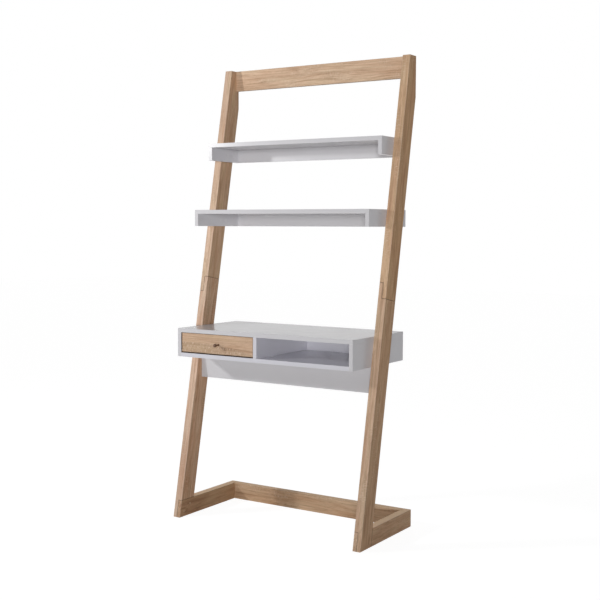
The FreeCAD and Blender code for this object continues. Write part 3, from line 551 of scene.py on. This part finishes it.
# painted light: the boards inside the desk box are a brighter, bluer white, for the cool light inside
# the compartment
dress(white_lacquer("painted_light_cool_lacquer", "#DFDEE7", "#D9D8E0"),
      "desk_bottom_board", "desk_divider", "desk_back_panel")
dress(melamine_paper(), "drawer_left_side", "drawer_right_side", "drawer_back", "drawer_bottom")

# ---- fittings ----
dress(turned_beech(), "wood_dowels", "drawer_dowels")
dress(moulded_plastic("white_cap_plastic", "#D6D5D8", "#CFCED1"), "bolt_caps")
dress(moulded_plastic("oak_plug_plastic", "#BC9C7C", "#AF8E6E"), "lap_plugs")
# die-cast zinc: grey and dull, with the grain of its mould
dress(bare_metal("die_cast_zinc", "#B4B5B8", "#9B9CA0", 0.45, 1.5, 0.05),
      "cam_locks", "base_rail_cam_locks", "drawer_cam_locks")
# bright zinc plate on steel: bluish white and fairly shiny
dress(bare_metal("zinc_plated_steel", "#CDD1D6", "#B5B8BC", 0.26, 0.8, 0.01),
      "cam_bolts", "stile_bolts", "threaded_inserts", "lap_screws", "cabinet_rail_screws",
      "drawer_rail_screws", "drawer_knob_screw", "drawer_cam_bolts", "drawer_corner_screws",
      "drawer_bottom_screws")
# cold-rolled and zinc-plated sheet: softer sheen than the screws
dress(bare_metal("rolled_runner_steel", "#C6C9CD", "#ADB0B4", 0.32, 2.5, 0.01),
      "left_cabinet_rail", "right_cabinet_rail", "left_drawer_rail", "right_drawer_rail")
# pressed sheet, not polished after stamping
dress(bare_metal("pressed_cage_steel", "#A9ABAE", "#939598", 0.38, 1.2, 0.02),
      "left_ball_cage", "right_ball_cage")
# ground and polished bearing balls
dress(bare_metal("polished_ball_steel", "#D8DADD", "#CDCFD2", 0.08, 1.0, 0.001),
      "left_runner_balls", "right_runner_balls")


# ---- floor, surroundings, light and camera ----
def seen_directly(tree):
    """1 for a ray from the camera, a mirror or glass, so that they see the white backdrop."""
    path = add(tree, "ShaderNodeLightPath")
    first = add(tree, "ShaderNodeMath", {0: path.outputs["Is Camera Ray"],
                                         1: path.outputs["Is Glossy Ray"]}, operation="MAXIMUM")
    both = add(tree, "ShaderNodeMath", {0: first.outputs[0],
                                        1: path.outputs["Is Transmission Ray"]},
               operation="MAXIMUM")
    return both.outputs[0]


def studio_world():
    """White where it is seen; a dimmer even glow lights the desk."""
    world = bpy.data.worlds.new("pale_studio")
    bpy.context.scene.world = world
    world.use_nodes = True
    tree = world.node_tree
    tree.nodes.clear()
    backdrop = add(tree, "ShaderNodeBackground", {"Color": (1, 1, 1, 1), "Strength": 1.0})
    glow = add(tree, "ShaderNodeBackground", {"Color": (1, 1, 1, 1), "Strength": GLOW})
    both = add(tree, "ShaderNodeMixShader", {0: seen_directly(tree), 1: glow.outputs[0],
                                             2: backdrop.outputs[0]})
    add(tree, "ShaderNodeOutputWorld", {"Surface": both.outputs[0]})


def studio_floor():
    """Pale floor: nearly white where it is seen, and it still takes the desk's shadow."""
    bpy.ops.mesh.primitive_plane_add(size=FLOOR_SIZE, location=(0, 0, 0))
    floor = bpy.context.object
    floor.name = "studio_floor"
    material, tree, shader = new_material("pale_floor")
    shader.inputs["Base Color"].default_value = linear("#F4F4F4")
    shader.inputs["Roughness"].default_value = 0.9
    shown = 1 - FLOOR_SHADED
    white = add(tree, "ShaderNodeEmission", {"Color": (1, 1, 1, 1), "Strength": FLOOR_WHITE / shown})
    share = add(tree, "ShaderNodeMath", {0: seen_directly(tree), 1: shown}, operation="MULTIPLY")
    both = add(tree, "ShaderNodeMixShader", {0: share.outputs[0], 1: shader.outputs[0],
                                             2: white.outputs[0]})
    output = next(n for n in tree.nodes if n.type == "OUTPUT_MATERIAL")
    tree.links.new(both.outputs[0], output.inputs["Surface"])
    floor.data.materials.append(material)


def hang_lamp(name, kind, towards, place=(0, 0, 0), mirrored=True):
    """A white lamp at `place` that shines from the direction `towards`, `mirrored` in gloss or not."""
    lamp = bpy.data.lights.new(name, kind)
    holder = bpy.data.objects.new(name, lamp)
    holder.location = place
    holder.rotation_mode = "QUATERNION"
    holder.rotation_quaternion = towards.to_track_quat("Z", "Y")
    holder.visible_glossy = mirrored
    bpy.context.scene.collection.objects.link(holder)
    return lamp


def key_light():
    """The smallest lamp, which throws the sharpest shadows."""
    lamp = hang_lamp("key_light", "AREA", Vector(KEY_AT) - Vector(KEY_AIM), KEY_AT)
    lamp.shape = "DISK"
    lamp.size = KEY_SIZE
    lamp.energy = KEY_WATTS


def far_light(name, side, height, softness, strength, mirrored=True):
    """A lamp so far off that its light is parallel; angles in degrees."""
    side = math.radians(side)
    height = math.radians(height)
    towards = Vector((math.sin(side) * math.cos(height), -math.cos(side) * math.cos(height),
                      math.sin(height)))
    lamp = hang_lamp(name, "SUN", towards, mirrored=mirrored)
    lamp.energy = strength
    lamp.angle = math.radians(softness)


def studio_camera():
    """Turned, tilted and rolled about its own place, with no focus blur."""
    camera = bpy.data.objects.new("camera", bpy.data.cameras.new("camera"))
    bpy.context.scene.collection.objects.link(camera)
    camera.data.sensor_width = SENSOR_MM
    camera.data.lens = FOCAL_PIXELS * SENSOR_MM / IMAGE_PIXELS
    camera.data.clip_end = CAMERA_REACH
    turn = Matrix.Rotation(math.radians(CAMERA_YAW), 4, "Z")
    tilt = Matrix.Rotation(math.radians(90 - CAMERA_PITCH), 4, "X")
    roll = Matrix.Rotation(math.radians(CAMERA_ROLL), 4, "Z")
    camera.matrix_world = Matrix.Translation(CAMERA_AT) @ turn @ tilt @ roll
    bpy.context.scene.camera = camera


studio_world()
studio_floor()
key_light()
far_light("fill_light", *FILL)
far_light("back_light", *BACK, mirrored=False)     # it would glare on the desk top
studio_camera()
bpy.context.scene.view_settings.view_transform = "Standard"
